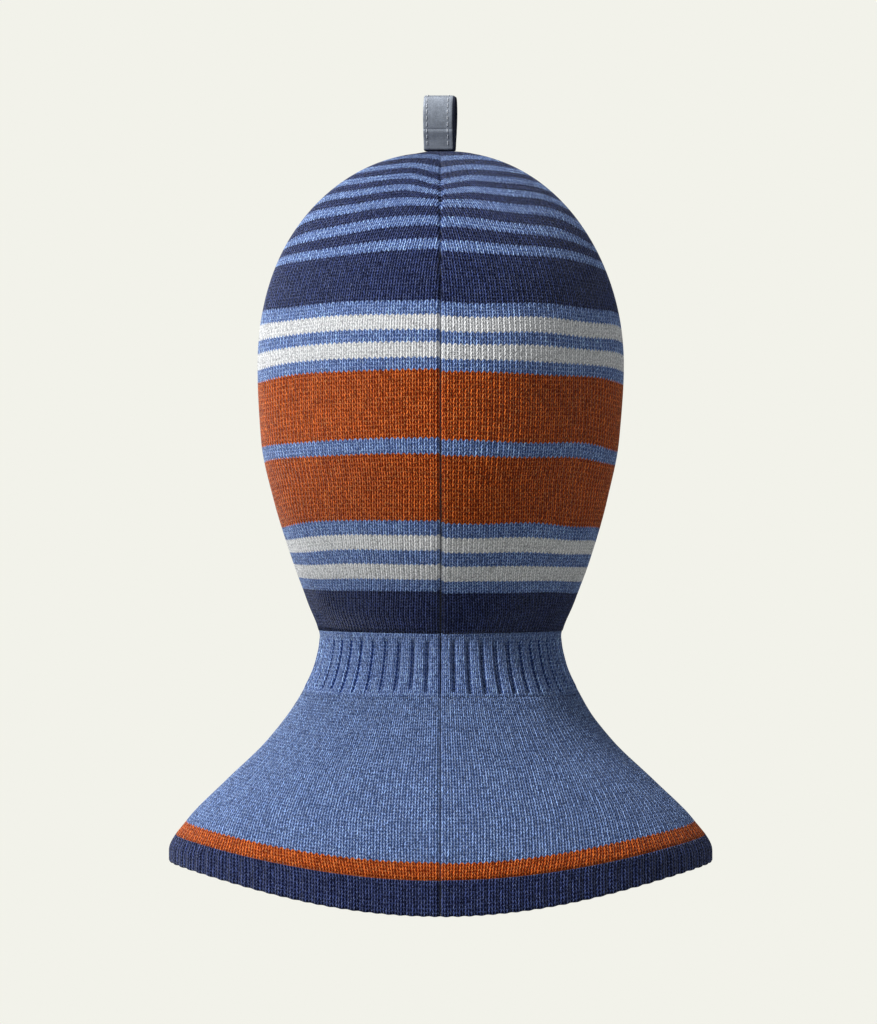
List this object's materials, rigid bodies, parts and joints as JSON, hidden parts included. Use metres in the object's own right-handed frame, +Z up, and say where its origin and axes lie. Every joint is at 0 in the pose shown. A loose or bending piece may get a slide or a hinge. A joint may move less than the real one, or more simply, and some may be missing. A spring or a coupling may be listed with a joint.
{
  "type": "balaclava",
  "caption": "Child's knitted wool balaclava with striped hood, ribbed neck, flared collar, face opening and a reflective hanging loop.",
  "frame": {"origin": "where the top of the head bears on the lining, inside the crown", "axes": "+Z up along the wearer, -Y the way the face looks, +X the wearer's left"},
  "size_m": [0.2364, 0.1929, 0.3485],
  "materials": {
    "striped_wool": "matte knit, blue ground with knitted-in navy, white and rust stripes",
    "blue_wool": "matte melange knit",
    "navy_wool": "matte ribbed knit",
    "lining_jersey": "smooth fine jersey",
    "windproof_membrane": "smooth laminate",
    "seam_thread": "matte thread",
    "backing_tape": "woven tape",
    "reflective_tape": "satin retroreflective film",
    "stitch_thread": "satin polyester thread",
    "label_satin": "satin"
  },
  "bodies": {
    "hood": {"hood_panel_left": "striped_wool", "hood_panel_right": "striped_wool", "lining_left": "lining_jersey", "lining_right": "lining_jersey", "ear_windproof_patch_left": "windproof_membrane", "ear_windproof_patch_right": "windproof_membrane", "face_rib_band": "navy_wool", "crown_back_seam": "seam_thread", "chin_seam": "seam_thread", "woven_label": "label_satin"},
    "neck": {"neck_rib_left": "blue_wool", "neck_rib_right": "blue_wool", "neck_back_seam": "seam_thread", "neck_front_seam": "seam_thread"},
    "collar": {"collar_left": "blue_wool", "collar_right": "blue_wool", "hem_rib_left": "navy_wool", "hem_rib_right": "navy_wool", "collar_back_seam": "seam_thread", "collar_front_seam": "seam_thread"},
    "loop": {"loop_backing_tape": "backing_tape", "loop_reflective_tape": "reflective_tape", "loop_stitch_row_left": "stitch_thread", "loop_stitch_row_right": "stitch_thread"},
    "label": {"care_label": "label_satin"}
  },
  "joints": [
    {"name": "neck_nod", "type": "hinge", "parent": "hood", "child": "neck", "pos_m": [0, 0, -0.245], "axis": [1, 0, 0], "range_deg": [-15, 15], "stiffness_Nm_per_rad": 0.3},
    {"name": "neck_turn", "type": "hinge", "parent": "neck", "child": "collar", "pos_m": [0, 0, -0.245], "axis": [0, 0, 1], "range_deg": [-30, 30], "stiffness_Nm_per_rad": 0.2},
    {"name": "loop_fold", "type": "hinge", "parent": "hood", "child": "loop", "pos_m": [0, -0.003, 0.0078], "axis": [1, 0, 0], "range_deg": [-60, 60], "stiffness_Nm_per_rad": 0.004},
    {"name": "label_lift", "type": "hinge", "parent": "hood", "child": "label", "pos_m": [0, 0.0835, -0.1], "axis": [-1, 0, 0], "range_deg": [0, 70]}
  ]
}
